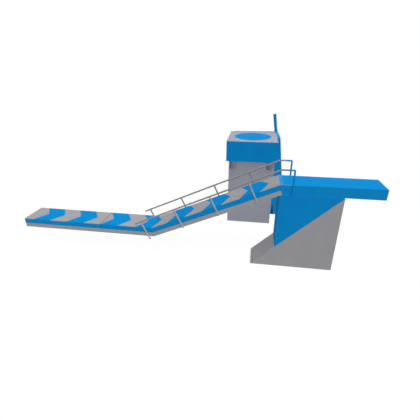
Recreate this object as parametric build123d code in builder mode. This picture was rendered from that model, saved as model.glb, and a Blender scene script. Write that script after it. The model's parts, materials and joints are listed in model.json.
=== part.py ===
from build123d import *
import os
from math import atan2, cos, degrees, radians, sin, tan

# A high diving board on a sloping concrete foot. A level walkway and a ramp, both boarded with
# chevron grip panels, lead up to the landing. The board is hinged behind the landing, lies on
# rubber strips on the pier and passes over a fulcrum roller in a pocket of the pier's top.
# A tower of the same set stands by itself behind the ramp.
#
# Millimetres. X runs towards the pool, Y across and Z up. The origin is at the foot of the
# pool face, in the middle of the width.

os.makedirs("parts", exist_ok=True)

# ---------------------------------------------------------------- driving dimensions
# foot and pier
deck_width = 1575
wedge_length = 4410
pier_top = 4280
pier_length = 3155
dowel_diameter = 40
dowel_length = 700
dowel_rows = (0.24, 0.5, 0.76)      # places along the pier, as parts of its length
dowel_spread = 900

# run-up: level walkway, then ramp
walkway_length = 8030
walkway_top = 1806
ramp_angle = 23.5
ramp_setback = 20                   # the ramp's deck stops this far behind the pier's face
grip_thickness = 12
deck_depth = 295                    # walking surface down to the underbeam
beam_depth = 243
plate = 8                           # folded plate of decks and underbeams
seam_distance = 3117                # joint of the two walkway modules, back from the bend
seam_gap = 10
gasket_inset = 4
joist_pitch = 1000
joist_plate = 8
joist_hole = 240
gusset_reach = 600
gusset_plate = 12
seam_bolt = 24
seam_bolt_spacing = 560
head_stud = 30
head_stud_length = 260
head_stud_spacing = 1300

# chevron grip panels
chevron_point = 500                 # how far a blue tip leads its two ends
walkway_chevron_pitch = 1080
walkway_first_tip = 1093            # from the walkway's far end
walkway_blue_extra = 26             # a blue band is this much longer than the pitch
walkway_notch = 500                 # how far a blue band's notch leads its two ends
ramp_chevron_pitch = 1096
ramp_first_tip = 376                # from the bend
ramp_blue_extra = 98
ramp_notch = 425
grip_joint = 2

# landing
landing_top = 4820
landing_depth = 300
cheek_length = 1618
cheek_thickness = 32
cheek_leg_reach = 60                # how far a cheek's leg stands ahead of the board's rear end
crosspiece_length = 165
crosspiece_wall = 12
upstand_plate = 20
upstand_width = 1100
upstand_set_in = 200
strip_length = 700                  # grey grip strip on each cheek
strip_thickness = 3
landing_bolt = 20
beam_end_gap = 4                    # round the underbeam's upper end

# board
board_length = 4900
board_width = 1500
board_top = 4830
board_wall = 8
tread_thickness = 12
nosing_thickness = 20
nosing_radius = 8
rib_count = 7
rib_plate = 8
rib_hole = 260
seat_thickness = 8
seat_width = 90
rear_gap = 12                       # board's rear end to the crosspiece

# rear hinge
shaft_diameter = 60
shaft_inset = 90                    # ahead of the board's rear end
running_clearance = 0.05
hinge_tube_diameter = 90
bush_diameter = 76
bush_length = 80

# fulcrum
fulcrum_distance = 650              # back from the pool face
roller_diameter = 160
roller_length = 900
roller_gap = 0.3
axle_diameter = 50
wear_plate_thickness = 6
wear_plate_length = 500
bearing_width = 60
bearing_length = 170
bearing_crown = 45
bearing_side_gap = 3
pocket_length = 600
pocket_depth = 250
pocket_end_gap = 20
bearing_bolt = 20
bearing_bolt_spacing = 126
bearing_bolt_depth = 120

# railings
tube_diameter = 90
tube_wall = 5
rail_angle = 24.5
rail_overhang = 907                 # rail's low end, back from the bend
rail_start_height = 234             # rail's low end above the walkway
rail_level = 800                    # upper rail above the landing
rail_bend_radius = 300
tube_standoff = 20
post_count = 4
first_post = 350
post_pitch = 2178
post_length = 1173
weld_gap = 0.2
clamp_depths = (95, 225)            # below the walking surface
clamp_plate = 6
clamp_width = 50
clamp_reach = 76
stud_diameter = 12
stud_length = 22
nut_width = 19
nut_height = 10
cap_thickness = 6
hoop_distance = 625                 # blue end post, ahead of the landing's rear edge
hoop_start = 290                    # blue stretch of the upper rail
hoop_bend_radius = 50
hoop_foot_height = 40               # above the pier's top
foot_plate = 10
foot_length = 110
foot_drop = 140
anchor_diameter = 12
anchor_depth = 110
anchor_spacing = 60
anchor_edge = 45                    # above the foot plate's lower edge
spigot_length = 160

# tower
tower_left = -6231
tower_width = 3010
tower_front = 4318
tower_depth = 3100
tower_wall = 150
head_bottom = 4521
head_height = 1316
head_left_overhang = 160
head_right_overhang = 115
head_front_overhang = 245
head_back_overhang = 100
head_wall = 120
head_rim = 20
head_floor = 150
top_slab = 120
disc_diameter = 2472
disc_thickness = 60
disc_proud = 4
disc_from_front = 1735
housing_radius = 235
housing_height = 505
housing_inset = 45
housing_wall = 12
annex_front = 5900
annex_top_width = 213
annex_foot_width = 1090
annex_back_taper = 83               # how much narrower the annex is at its back
annex_back_right = 430              # rear arm's depth behind the head, at the right
annex_back_left = 120
annex_left_inset = 140              # rear arm's end from the head's left edge
annex_wall = 12
annex_round = 150
hatch_inset = 129                   # hatch's near corner from the tower's side
hatch_width = 200
hatch_height = 900
hatch_set_back = 8
mast_diameter = 220
mast_wall = 8
mast_height = 1275
mast_lean = 9
mast_inset = 10
mast_set_back = 210

# ---------------------------------------------------------------- worked-out places
half_width = deck_width / 2
slope_rise = pier_top / wedge_length
slope_angle = degrees(atan2(pier_top, wedge_length))
sin_ramp = sin(radians(ramp_angle))
cos_ramp = cos(radians(ramp_angle))
tan_ramp = tan(radians(ramp_angle))
tan_mitre = tan(radians(ramp_angle / 2))
run_up_depth = deck_depth + beam_depth
ramp_end_x = -pier_length - ramp_setback
ramp_rise = landing_top - walkway_top
bend_x = ramp_end_x - ramp_rise / tan_ramp
ramp_length = ramp_rise / sin_ramp
walkway_start_x = bend_x - walkway_length
seam_x = bend_x - seam_distance
inner_width = deck_width - 2 * plate
landing_bottom = landing_top - landing_depth
beam_end = (landing_bottom - beam_end_gap - walkway_top + deck_depth * cos_ramp) / sin_ramp

crosspiece_end_x = ramp_end_x + crosspiece_length
board_rear_x = crosspiece_end_x + rear_gap
board_tip_x = board_rear_x + board_length
board_bottom = pier_top + seat_thickness
board_thickness = board_top - board_bottom
shaft_x = board_rear_x + shaft_inset
shaft_z = landing_top - landing_depth / 2
upstand_x = crosspiece_end_x - upstand_plate / 2

roller_z = board_bottom - wear_plate_thickness - roller_gap - roller_diameter / 2
pocket_width = roller_length + 2 * (bearing_side_gap + bearing_width + pocket_end_gap)
pocket_floor = pier_top - pocket_depth
bearing_y = roller_length / 2 + bearing_side_gap + bearing_width / 2

tube_radius = tube_diameter / 2
rail_y = half_width + tube_standoff + tube_radius
rail_start = Vector(bend_x - rail_overhang, -rail_y, walkway_top + rail_start_height)
rail_z = landing_top + rail_level
rail_bend_x = rail_start.X + (rail_z - rail_start.Z) / tan(radians(rail_angle))
hoop_x = ramp_end_x + hoop_distance
hoop_start_x = hoop_x - hoop_start
hoop_foot = pier_top + hoop_foot_height
along_rail = Vector(cos(radians(rail_angle)), 0, sin(radians(rail_angle)))
up_post = Vector(-along_rail.Z, 0, along_rail.X)
post_tops = [rail_start + along_rail * (first_post + i * post_pitch) for i in range(post_count)]

# side views: local x along the run-up or ramp, local y up from the walking surface
walkway_side = Plane(origin=(bend_x, 0, walkway_top), x_dir=(1, 0, 0), z_dir=(0, -1, 0))
ramp_side = Plane(
    origin=(bend_x, 0, walkway_top), x_dir=(cos_ramp, 0, sin_ramp), z_dir=(0, -1, 0)
)
walkway_surface = Plane(origin=(walkway_start_x, 0, walkway_top))
ramp_surface = Plane(
    origin=(bend_x, 0, walkway_top),
    x_dir=(cos_ramp, 0, sin_ramp),
    z_dir=(-sin_ramp, 0, cos_ramp),
)


def keep(piece, label):
    """Label a finished sub-part and write its STEP file."""
    piece.part.label = label
    export_step(piece.part, f"parts/{label}.step")


def mirrored(piece):
    """The same sub-part on the other side of the board."""
    with BuildPart() as other_side:
        mirror(piece.part, about=Plane.XZ)
    return other_side


def slope_z(x):
    """Height of the foot's sloping face above x."""
    return (x + wedge_length) * slope_rise


def anchor_pair():
    """Places of a hoop foot's two anchors, side by side."""
    return GridLocations(anchor_spacing, anchor_spacing, 2, 1)


def across(x, y, z):
    """Plane square to X at a point, for shapes that run along X."""
    return Plane(origin=(x, y, z), x_dir=(0, 1, 0), z_dir=(1, 0, 0))


# ---------------------------------------------------------------- foot and pier
underbeam_z = walkway_top + (-pier_length - bend_x) * tan_ramp - run_up_depth / cos_ramp
seat_corner_x = -pier_length + (pier_top - underbeam_z) / tan_ramp

dowel_planes = [
    Plane(
        origin=(-pier_length * row, side * dowel_spread / 2, slope_z(-pier_length * row)),
        z_dir=(-sin(radians(slope_angle)), 0, cos(radians(slope_angle))),
    )
    for row in dowel_rows
    for side in (-1, 1)
]

head_stud_x = (-pier_length + seat_corner_x) / 2
head_stud_z = underbeam_z + (head_stud_x + pier_length) * tan_ramp
head_stud_planes = [
    Plane(
        origin=(head_stud_x, side * head_stud_spacing / 2, head_stud_z),
        z_dir=(-sin_ramp, 0, cos_ramp),
    )
    for side in (-1, 1)
]

anchor_z = hoop_foot - foot_drop + anchor_edge
anchor_plane = Plane(origin=(hoop_x, -half_width, anchor_z), x_dir=(1, 0, 0), z_dir=(0, -1, 0))
anchor_plane_back = Plane(origin=(hoop_x, half_width, anchor_z), x_dir=(1, 0, 0), z_dir=(0, 1, 0))

with BuildPart() as dowels:
    for dowel_plane in dowel_planes:
        with BuildSketch(dowel_plane):
            Circle(dowel_diameter / 2)
    extrude(amount=dowel_length / 2, both=True)
keep(dowels, "dowels")

with BuildPart() as wedge_foot:
    with BuildSketch(Plane.XZ):
        with BuildLine():
            Polyline((-wedge_length, 0), (0, 0), (0, pier_top), close=True)
        make_face()
    extrude(amount=half_width, both=True)
    add(dowels.part, mode=Mode.SUBTRACT)
keep(wedge_foot, "wedge_foot")

with BuildPart() as pier:
    with BuildSketch(Plane.XZ):
        with BuildLine():
            Polyline(
                (-pier_length, slope_z(-pier_length)),
                (0, pier_top),
                (seat_corner_x, pier_top),
                (-pier_length, underbeam_z),
                close=True,
            )
        make_face()
    extrude(amount=half_width, both=True)
    add(dowels.part, mode=Mode.SUBTRACT)
    # pocket of the fulcrum roller
    with BuildSketch(Plane.XY.offset(pier_top)):
        with Locations((-fulcrum_distance, 0)):
            Rectangle(pocket_length, pocket_width)
    extrude(amount=-pocket_depth, mode=Mode.SUBTRACT)
    # bores of the bearing bolts, in the pocket's floor
    with BuildSketch(Plane.XY.offset(pocket_floor)):
        with Locations((-fulcrum_distance, 0)):
            with GridLocations(bearing_bolt_spacing, 2 * bearing_y, 2, 2):
                Circle(bearing_bolt / 2)
    extrude(amount=-bearing_bolt_depth, mode=Mode.SUBTRACT)
    # slot that the landing's upstand is cast into
    with BuildSketch(Plane.XY.offset(pier_top)):
        with Locations((upstand_x, 0)):
            Rectangle(upstand_plate, upstand_width)
    extrude(amount=-upstand_set_in, mode=Mode.SUBTRACT)
    # bores of the studs that hold the ramp's upper end
    for stud_plane in head_stud_planes:
        with BuildSketch(stud_plane):
            Circle(head_stud / 2)
        extrude(amount=-head_stud_length, mode=Mode.SUBTRACT)
    # bores of the anchors that hold the hoops' feet
    for side_plane in (anchor_plane, anchor_plane_back):
        with BuildSketch(side_plane):
            with anchor_pair():
                Circle(anchor_diameter / 2)
        extrude(amount=-anchor_depth, mode=Mode.SUBTRACT)
keep(pier, "pier")


# ---------------------------------------------------------------- decks and underbeams
def folded_pan(side, outline, open_points):
    """Plate pan with the given side outline, open on the faces nearest to some points."""
    with BuildPart() as pan:
        with BuildSketch(side):
            with BuildLine():
                Polyline(*outline, close=True)
            make_face()
        extrude(amount=half_width, both=True)
        open_faces = [
            pan.faces().sort_by_distance(side.from_local_coords((x, y, 0)))[0]
            for x, y in open_points
        ]
        offset(amount=-plate, openings=open_faces)
    return pan


def level_outline(start, end, top, bottom, mitred):
    """Side outline of a walkway layer between two distances behind the bend."""
    lean = tan_mitre if mitred else 0
    return (
        (start, -top),
        (end + top * lean, -top),
        (end + bottom * lean, -bottom),
        (start, -bottom),
    )


def face_middle(outline, first, second):
    """Middle of the outline's edge between two of its corners."""
    return tuple((a + b) / 2 for a, b in zip(outline[first], outline[second]))


def seam_bolt_plane(depth):
    """Plane of the seam bolts in a layer, on the seam's middle."""
    return across(seam_x, 0, walkway_top - depth)


deck_middle = (grip_thickness + deck_depth) / 2
beam_middle = deck_depth + beam_depth / 2
module_a_end = -seam_distance - seam_gap / 2
module_b_start = -seam_distance + seam_gap / 2


def layer_bottom(outline):
    """Middle of a level layer's lower edge."""
    return face_middle(outline, 2, 3)


def layer_top(outline):
    """Middle of a level layer's upper edge."""
    return face_middle(outline, 0, 1)


walkway_layers = {
    "deck": (grip_thickness, deck_depth, deck_middle, layer_bottom),
    "beam": (deck_depth, run_up_depth, beam_middle, layer_top),
}
for layer, (top, bottom, middle, open_side) in walkway_layers.items():
    outline_a = level_outline(-walkway_length, module_a_end, top, bottom, mitred=False)
    outline_b = level_outline(module_b_start, 0, top, bottom, mitred=True)
    module_a = folded_pan(walkway_side, outline_a, [open_side(outline_a)])
    module_b = folded_pan(
        walkway_side, outline_b, [open_side(outline_b), face_middle(outline_b, 1, 2)]
    )
    for pan, letter in ((module_a, "a"), (module_b, "b")):
        with BuildPart() as module:
            add(pan.part)
            with BuildSketch(seam_bolt_plane(middle)):
                with GridLocations(seam_bolt_spacing, 1, 3, 1):
                    Circle(seam_bolt / 2)
            extrude(amount=seam_gap / 2 + 2 * plate, both=True, mode=Mode.SUBTRACT)
        keep(module, f"walkway_{layer}_{letter}")

ramp_deck_outline = (
    (-grip_thickness * tan_mitre, -grip_thickness),
    (ramp_length - grip_thickness * tan_ramp, -grip_thickness),
    (ramp_length - deck_depth * tan_ramp, -deck_depth),
    (-deck_depth * tan_mitre, -deck_depth),
)
ramp_deck = folded_pan(
    ramp_side,
    ramp_deck_outline,
    [face_middle(ramp_deck_outline, 2, 3), face_middle(ramp_deck_outline, 3, 0)],
)
keep(ramp_deck, "ramp_deck")

ramp_beam_outline = (
    (-deck_depth * tan_mitre, -deck_depth),
    (beam_end, -deck_depth),
    (beam_end, -run_up_depth),
    (-run_up_depth * tan_mitre, -run_up_depth),
)
ramp_trough = folded_pan(
    ramp_side,
    ramp_beam_outline,
    [face_middle(ramp_beam_outline, 0, 1), face_middle(ramp_beam_outline, 3, 0)],
)
with BuildPart() as ramp_beam:
    add(ramp_trough.part)
    for stud_plane in head_stud_planes:
        with BuildSketch(stud_plane):
            Circle(head_stud / 2)
        extrude(amount=2 * plate, mode=Mode.SUBTRACT)
keep(ramp_beam, "ramp_beam")

with BuildPart() as ramp_head_studs:
    for stud_plane in head_stud_planes:
        with BuildSketch(stud_plane):
            Circle(head_stud / 2)
        extrude(amount=-head_stud_length)
        with BuildSketch(stud_plane):
            Circle(head_stud / 2)
        extrude(amount=plate)
        with BuildSketch(stud_plane.offset(plate)):
            RegularPolygon(head_stud * 0.9, 6)
        extrude(amount=head_stud * 0.8)
keep(ramp_head_studs, "ramp_head_studs")

with BuildPart() as seam_gasket:
    with BuildSketch(across(seam_x, 0, walkway_top - run_up_depth / 2)):
        Rectangle(deck_width - 2 * gasket_inset, run_up_depth - 2 * gasket_inset)
    extrude(amount=seam_gap / 2, both=True)
    for middle in (deck_middle, beam_middle):
        with BuildSketch(seam_bolt_plane(middle)):
            with GridLocations(seam_bolt_spacing, 1, 3, 1):
                Circle(seam_bolt / 2)
        extrude(amount=seam_gap, both=True, mode=Mode.SUBTRACT)
keep(seam_gasket, "seam_gasket")

with BuildPart() as seam_bolts:
    grip_half = seam_gap / 2 + plate
    for middle in (deck_middle, beam_middle):
        with BuildSketch(seam_bolt_plane(middle)):
            with GridLocations(seam_bolt_spacing, 1, 3, 1):
                Circle(seam_bolt / 2)
        extrude(amount=grip_half, both=True)
        for end in (-1, 1):
            with BuildSketch(seam_bolt_plane(middle).offset(end * grip_half)):
                with GridLocations(seam_bolt_spacing, 1, 3, 1):
                    RegularPolygon(seam_bolt * 0.9, 6)
            extrude(amount=end * seam_bolt * 0.7)
keep(seam_bolts, "seam_bolts")


def joist_row(side, start, end):
    """Cross plates inside deck and underbeam, evenly spaced between two distances."""
    count = int((end - start) // joist_pitch)
    height = run_up_depth - grip_thickness - 2 * plate
    middle = -(grip_thickness + run_up_depth) / 2
    with BuildPart() as row:
        for i in range(count):
            distance = start + (end - start) * (i + 0.5) / count
            joist_plane = Plane(
                origin=side.from_local_coords((distance, middle, 0)),
                x_dir=(0, 1, 0),
                z_dir=side.x_dir,
            )
            with BuildSketch(joist_plane):
                Rectangle(inner_width, height)
                with GridLocations(inner_width / 3, 1, 3, 1):
                    Circle(joist_hole / 2, mode=Mode.SUBTRACT)
            extrude(amount=joist_plate / 2, both=True)
    return row.part


bend_clear = gusset_reach + run_up_depth * tan_mitre
with BuildPart() as joists:
    add(joist_row(walkway_side, -walkway_length + plate, module_a_end - plate))
    add(joist_row(walkway_side, module_b_start + plate, -bend_clear))
    add(joist_row(ramp_side, bend_clear, beam_end - run_up_depth))
keep(joists, "joists")


def world_xz(side, distance, depth):
    """Side-view point in world X and Z."""
    point = side.from_local_coords((distance, -depth, 0))
    return (point.X, point.Z)


with BuildPart() as bend_gussets:
    gusset_top = deck_depth + plate
    gusset_bottom = run_up_depth - plate
    for side in (-1, 1):
        wall_y = side * (inner_width - gusset_plate) / 2
        with BuildSketch(Plane.XZ.offset(-wall_y)):
            with BuildLine():
                Polyline(
                    world_xz(walkway_side, -gusset_reach, gusset_top),
                    world_xz(walkway_side, gusset_top * tan_mitre, gusset_top),
                    world_xz(ramp_side, gusset_reach, gusset_top),
                    world_xz(ramp_side, gusset_reach, gusset_bottom),
                    world_xz(walkway_side, gusset_bottom * tan_mitre, gusset_bottom),
                    world_xz(walkway_side, -gusset_reach, gusset_bottom),
                    close=True,
                )
            make_face()
        extrude(amount=gusset_plate / 2, both=True)
keep(bend_gussets, "bend_gussets")


# ---------------------------------------------------------------- chevron grip panels
def chevron_edges(length, first_tip, pitch, first_blue, blue_extra, notch):
    """Along a run, each chevron edge's middle and how far it leads the edge's ends."""
    count = int((length - first_tip + chevron_point) // pitch) + 2
    edges = []
    for i in range(count + 1):
        middle = first_tip + (i - 1) * pitch
        if (i - 1 - first_blue) % 2 == 0:
            edges.append((middle + blue_extra / 2, chevron_point))
        else:
            edges.append((middle - blue_extra / 2, notch))
    edges[0] = (-pitch - chevron_point, chevron_point)
    edges[-1] = (length + pitch + chevron_point, chevron_point)
    return edges


def grip_panels(surface, length, edges, start_band, slot=None):
    """Every second chevron band of a run, from start_band, cut off square at the run's ends."""
    with BuildPart() as panels:
        with BuildSketch(surface):
            for i in range(start_band, len(edges) - 1, 2):
                tail, tail_lead = edges[i]
                tip, tip_lead = edges[i + 1]
                tail += grip_joint / 2
                tip -= grip_joint / 2
                with BuildLine():
                    Polyline(
                        (tail - tail_lead, -half_width),
                        (tail, 0),
                        (tail - tail_lead, half_width),
                        (tip - tip_lead, half_width),
                        (tip, 0),
                        (tip - tip_lead, -half_width),
                        close=True,
                    )
                make_face()
            with Locations((length / 2, 0)):
                Rectangle(length, deck_width, mode=Mode.INTERSECT)
            if slot is not None:
                with Locations((slot, 0)):
                    Rectangle(seam_gap, deck_width, mode=Mode.SUBTRACT)
        extrude(amount=-grip_thickness)
    return panels


ramp_grip_length = ramp_length - grip_thickness * tan_ramp
walkway_edges = chevron_edges(
    walkway_length,
    walkway_first_tip,
    walkway_chevron_pitch,
    1,
    walkway_blue_extra,
    walkway_notch,
)
ramp_edges = chevron_edges(
    ramp_grip_length, ramp_first_tip, ramp_chevron_pitch, 0, ramp_blue_extra, ramp_notch
)
walkway_slot = walkway_length - seam_distance
for start_band, walkway_label, ramp_label in (
    (0, "walkway_grip_grey", "ramp_grip_blue"),
    (1, "walkway_grip_blue", "ramp_grip_grey"),
):
    keep(
        grip_panels(walkway_surface, walkway_length, walkway_edges, start_band, walkway_slot),
        walkway_label,
    )
    keep(grip_panels(ramp_surface, ramp_grip_length, ramp_edges, start_band), ramp_label)

# ---------------------------------------------------------------- landing
crosspiece_width = deck_width - 2 * cheek_thickness
crosspiece_x = (ramp_end_x + crosspiece_end_x) / 2
cheek_middle_x = ramp_end_x + cheek_length / 2
cheek_face = Plane.XZ.offset(half_width)
landing_bolt_points = [
    (crosspiece_x, shaft_z + offset_z) for offset_z in (-landing_depth / 4, landing_depth / 4)
]

with BuildPart() as landing_crosspiece:
    with BuildSketch(Plane.XZ):
        with Locations((crosspiece_x, shaft_z)):
            Rectangle(crosspiece_length, landing_depth)
            Rectangle(
                crosspiece_length - 2 * crosspiece_wall,
                landing_depth - 2 * crosspiece_wall,
                mode=Mode.SUBTRACT,
            )
    extrude(amount=crosspiece_width / 2, both=True)
    # end plates that the cheeks are screwed to
    for side in (-1, 1):
        plate_y = side * (crosspiece_width - crosspiece_wall) / 2
        with BuildSketch(Plane.XZ.offset(-plate_y)):
            with Locations((crosspiece_x, shaft_z)):
                Rectangle(crosspiece_length, landing_depth)
        extrude(amount=crosspiece_wall / 2, both=True)
    with BuildSketch(Plane.XZ):
        with Locations(*landing_bolt_points):
            Circle(landing_bolt / 2)
    extrude(amount=half_width, both=True, mode=Mode.SUBTRACT)
keep(landing_crosspiece, "landing_crosspiece")

with BuildPart() as landing_upstand:
    with BuildSketch(Plane.XY.offset(pier_top - upstand_set_in)):
        with Locations((upstand_x, 0)):
            Rectangle(upstand_plate, upstand_width)
    extrude(amount=upstand_set_in + landing_bottom - pier_top)
keep(landing_upstand, "landing_upstand")

leg_end_x = board_rear_x + cheek_leg_reach


def leg_start_x(z):
    """Where a cheek's leg starts at a height, just clear of the underbeam's square end."""
    end_x, end_z = world_xz(ramp_side, beam_end + beam_end_gap, run_up_depth)
    return end_x + (end_z - z) * tan_ramp


with BuildPart() as landing_cheek_front:
    with BuildSketch(cheek_face):
        with Locations((cheek_middle_x, shaft_z)):
            Rectangle(cheek_length, landing_depth)
        # leg down to the pier's top
        with BuildLine():
            Polyline(
                (leg_start_x(landing_bottom), landing_bottom),
                (leg_start_x(pier_top), pier_top),
                (leg_end_x, pier_top),
                (leg_end_x, landing_bottom),
                close=True,
            )
        make_face()
        with Locations((shaft_x, shaft_z)):
            Circle(shaft_diameter / 2, mode=Mode.SUBTRACT)
        with Locations(*landing_bolt_points):
            Circle(landing_bolt / 2, mode=Mode.SUBTRACT)
    extrude(amount=-cheek_thickness)
keep(landing_cheek_front, "landing_cheek_front")
keep(mirrored(landing_cheek_front), "landing_cheek_back")

with BuildPart() as landing_bolts:
    with BuildSketch(cheek_face):
        with Locations(*landing_bolt_points):
            Circle(landing_bolt / 2)
    extrude(amount=-cheek_thickness - crosspiece_wall)
    with BuildSketch(cheek_face):
        with Locations(*landing_bolt_points):
            RegularPolygon(landing_bolt * 0.8, 6)
    extrude(amount=landing_bolt * 0.3)
    mirror(about=Plane.XZ)
keep(landing_bolts, "landing_bolts")

with BuildPart() as landing_strips:
    with BuildSketch(Plane.XY.offset(landing_top)):
        with Locations((ramp_end_x + strip_length / 2, 0)):
            with GridLocations(1, deck_width - cheek_thickness, 1, 2):
                Rectangle(strip_length, cheek_thickness)
    extrude(amount=strip_thickness)
keep(landing_strips, "landing_strips")

# ---------------------------------------------------------------- board
shell_length = board_length - nosing_thickness
shell_middle_x = board_rear_x + shell_length / 2
shell_height = board_thickness - tread_thickness

with BuildPart() as board_shell:
    with BuildSketch(Plane.XY.offset(board_bottom)):
        with Locations((shell_middle_x, 0)):
            Rectangle(shell_length, board_width)
    extrude(amount=shell_height)
    offset(amount=-board_wall, openings=board_shell.faces().sort_by(Axis.Z)[-1])
    with BuildSketch(Plane.XZ):
        with Locations((shaft_x, shaft_z)):
            Circle(hinge_tube_diameter / 2)
    extrude(amount=board_width / 2, both=True, mode=Mode.SUBTRACT)
keep(board_shell, "board_shell")

with BuildPart() as board_tread:
    with BuildSketch(Plane.XY.offset(board_top)):
        with Locations((shell_middle_x, 0)):
            Rectangle(shell_length, board_width)
    extrude(amount=-tread_thickness)
keep(board_tread, "board_tread")

with BuildPart() as board_nosing:
    with BuildSketch(across(board_tip_x, 0, board_bottom + board_thickness / 2)):
        Rectangle(board_width, board_thickness)
    extrude(amount=-nosing_thickness)
    fillet(board_nosing.faces().sort_by(Axis.X)[-1].edges(), nosing_radius)
keep(board_nosing, "board_nosing")

rib_height = shell_height - board_wall
rib_start = shaft_x + hinge_tube_diameter
rib_end = board_tip_x - nosing_thickness - board_wall
with BuildPart() as board_ribs:
    for i in range(rib_count):
        rib_x = rib_start + (rib_end - rib_start) * (i + 0.5) / rib_count
        with BuildSketch(across(rib_x, 0, board_bottom + board_wall + rib_height / 2)):
            Rectangle(board_width - 2 * board_wall, rib_height)
            with GridLocations(board_width / 3, 1, 3, 1):
                Circle(rib_hole / 2, mode=Mode.SUBTRACT)
        extrude(amount=rib_plate / 2, both=True)
keep(board_ribs, "board_ribs")

with BuildPart() as seat_strips:
    seat_end_x = -pocket_end_gap
    seat_start_x = shaft_x + hinge_tube_diameter
    with BuildSketch(Plane.XY.offset(pier_top)):
        with Locations(((seat_start_x + seat_end_x) / 2, 0)):
            with GridLocations(1, board_width - seat_width, 1, 2):
                Rectangle(seat_end_x - seat_start_x, seat_width)
    extrude(amount=seat_thickness)
keep(seat_strips, "seat_strips")

# ---------------------------------------------------------------- rear hinge
with BuildPart() as hinge_tube:
    with BuildSketch(Plane.XZ):
        with Locations((shaft_x, shaft_z)):
            Circle(hinge_tube_diameter / 2)
            Circle(bush_diameter / 2, mode=Mode.SUBTRACT)
    extrude(amount=board_width / 2, both=True)
keep(hinge_tube, "hinge_tube")

with BuildPart() as hinge_bushes:
    with BuildSketch(Plane.XZ.offset(board_width / 2)):
        with Locations((shaft_x, shaft_z)):
            Circle(bush_diameter / 2)
            Circle(shaft_diameter / 2 + running_clearance, mode=Mode.SUBTRACT)
    extrude(amount=-bush_length)
    mirror(about=Plane.XZ)
keep(hinge_bushes, "hinge_bushes")

with BuildPart() as hinge_shaft:
    with BuildSketch(Plane.XZ):
        with Locations((shaft_x, shaft_z)):
            Circle(shaft_diameter / 2)
    extrude(amount=half_width, both=True)
keep(hinge_shaft, "hinge_shaft")

# ---------------------------------------------------------------- fulcrum
with BuildPart() as fulcrum_wear_plate:
    with BuildSketch(Plane.XY.offset(board_bottom)):
        with Locations((-fulcrum_distance, 0)):
            Rectangle(wear_plate_length, roller_length)
    extrude(amount=-wear_plate_thickness)
keep(fulcrum_wear_plate, "fulcrum_wear_plate")

with BuildPart() as fulcrum_roller:
    with BuildSketch(Plane.XZ):
        with Locations((-fulcrum_distance, roller_z)):
            Circle(roller_diameter / 2)
            Circle(axle_diameter / 2 + running_clearance, mode=Mode.SUBTRACT)
    extrude(amount=roller_length / 2, both=True)
keep(fulcrum_roller, "fulcrum_roller")

with BuildPart() as fulcrum_axle:
    with BuildSketch(Plane.XZ):
        with Locations((-fulcrum_distance, roller_z)):
            Circle(axle_diameter / 2)
    extrude(amount=bearing_y + bearing_width / 2, both=True)
keep(fulcrum_axle, "fulcrum_axle")

flange_height = 2 * bearing_bolt
bearing_bolt_grid = (bearing_bolt_spacing, 2 * bearing_y, 2, 2)
with BuildPart() as fulcrum_bearings:
    with BuildSketch(Plane.XY.offset(pocket_floor)):
        with Locations((-fulcrum_distance, 0)):
            with GridLocations(1, 2 * bearing_y, 1, 2):
                Rectangle(bearing_length, bearing_width)
    extrude(amount=flange_height)
    for side in (-1, 1):
        with BuildSketch(Plane.XZ.offset(-side * bearing_y)):
            with Locations((-fulcrum_distance, roller_z)):
                Circle(bearing_crown)
            with Locations((-fulcrum_distance, (pocket_floor + roller_z) / 2)):
                Rectangle(2 * bearing_crown, roller_z - pocket_floor)
        extrude(amount=bearing_width / 2, both=True)
    with BuildSketch(Plane.XZ):
        with Locations((-fulcrum_distance, roller_z)):
            Circle(axle_diameter / 2)
    extrude(amount=half_width, both=True, mode=Mode.SUBTRACT)
    with BuildSketch(Plane.XY.offset(pocket_floor)):
        with Locations((-fulcrum_distance, 0)):
            with GridLocations(*bearing_bolt_grid):
                Circle(bearing_bolt / 2)
    extrude(amount=flange_height, mode=Mode.SUBTRACT)
keep(fulcrum_bearings, "fulcrum_bearings")

with BuildPart() as fulcrum_bolts:
    with BuildSketch(Plane.XY.offset(pocket_floor + flange_height)):
        with Locations((-fulcrum_distance, 0)):
            with GridLocations(*bearing_bolt_grid):
                Circle(bearing_bolt / 2)
    extrude(amount=-flange_height - bearing_bolt_depth)
    with BuildSketch(Plane.XY.offset(pocket_floor + flange_height)):
        with Locations((-fulcrum_distance, 0)):
            with GridLocations(*bearing_bolt_grid):
                RegularPolygon(bearing_bolt * 0.8, 6)
    extrude(amount=bearing_bolt * 0.6)
keep(fulcrum_bolts, "fulcrum_bolts")


# ---------------------------------------------------------------- railings
def bent_tube(start, corner, end, bend_radius):
    """Round tube of two straight runs and a bend, in two lengths that are welded at the bend."""
    first_run = (corner - start).normalized()
    second_run = (end - corner).normalized()
    with BuildPart() as tube:
        with BuildLine() as path:
            FilletPolyline(start, corner, end, radius=bend_radius)
        with BuildSketch(Plane(origin=start, z_dir=first_run)):
            Circle(tube_radius)
            Circle(tube_radius - tube_wall, mode=Mode.SUBTRACT)
        sweep(path=path.line)
        split(bisect_by=Plane(origin=corner, z_dir=first_run + second_run), keep=Keep.BOTH)
    return tube


for side_y, side_name in ((-rail_y, "front"), (rail_y, "back")):
    rail_end = Vector(hoop_start_x, side_y, rail_z)
    rail = bent_tube(
        Vector(rail_start.X, side_y, rail_start.Z),
        Vector(rail_bend_x, side_y, rail_z),
        rail_end,
        rail_bend_radius,
    )
    keep(rail, f"rail_{side_name}")
    hoop = bent_tube(
        rail_end,
        Vector(hoop_x, side_y, rail_z),
        Vector(hoop_x, side_y, hoop_foot),
        hoop_bend_radius,
    )
    keep(hoop, f"hoop_{side_name}")

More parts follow.
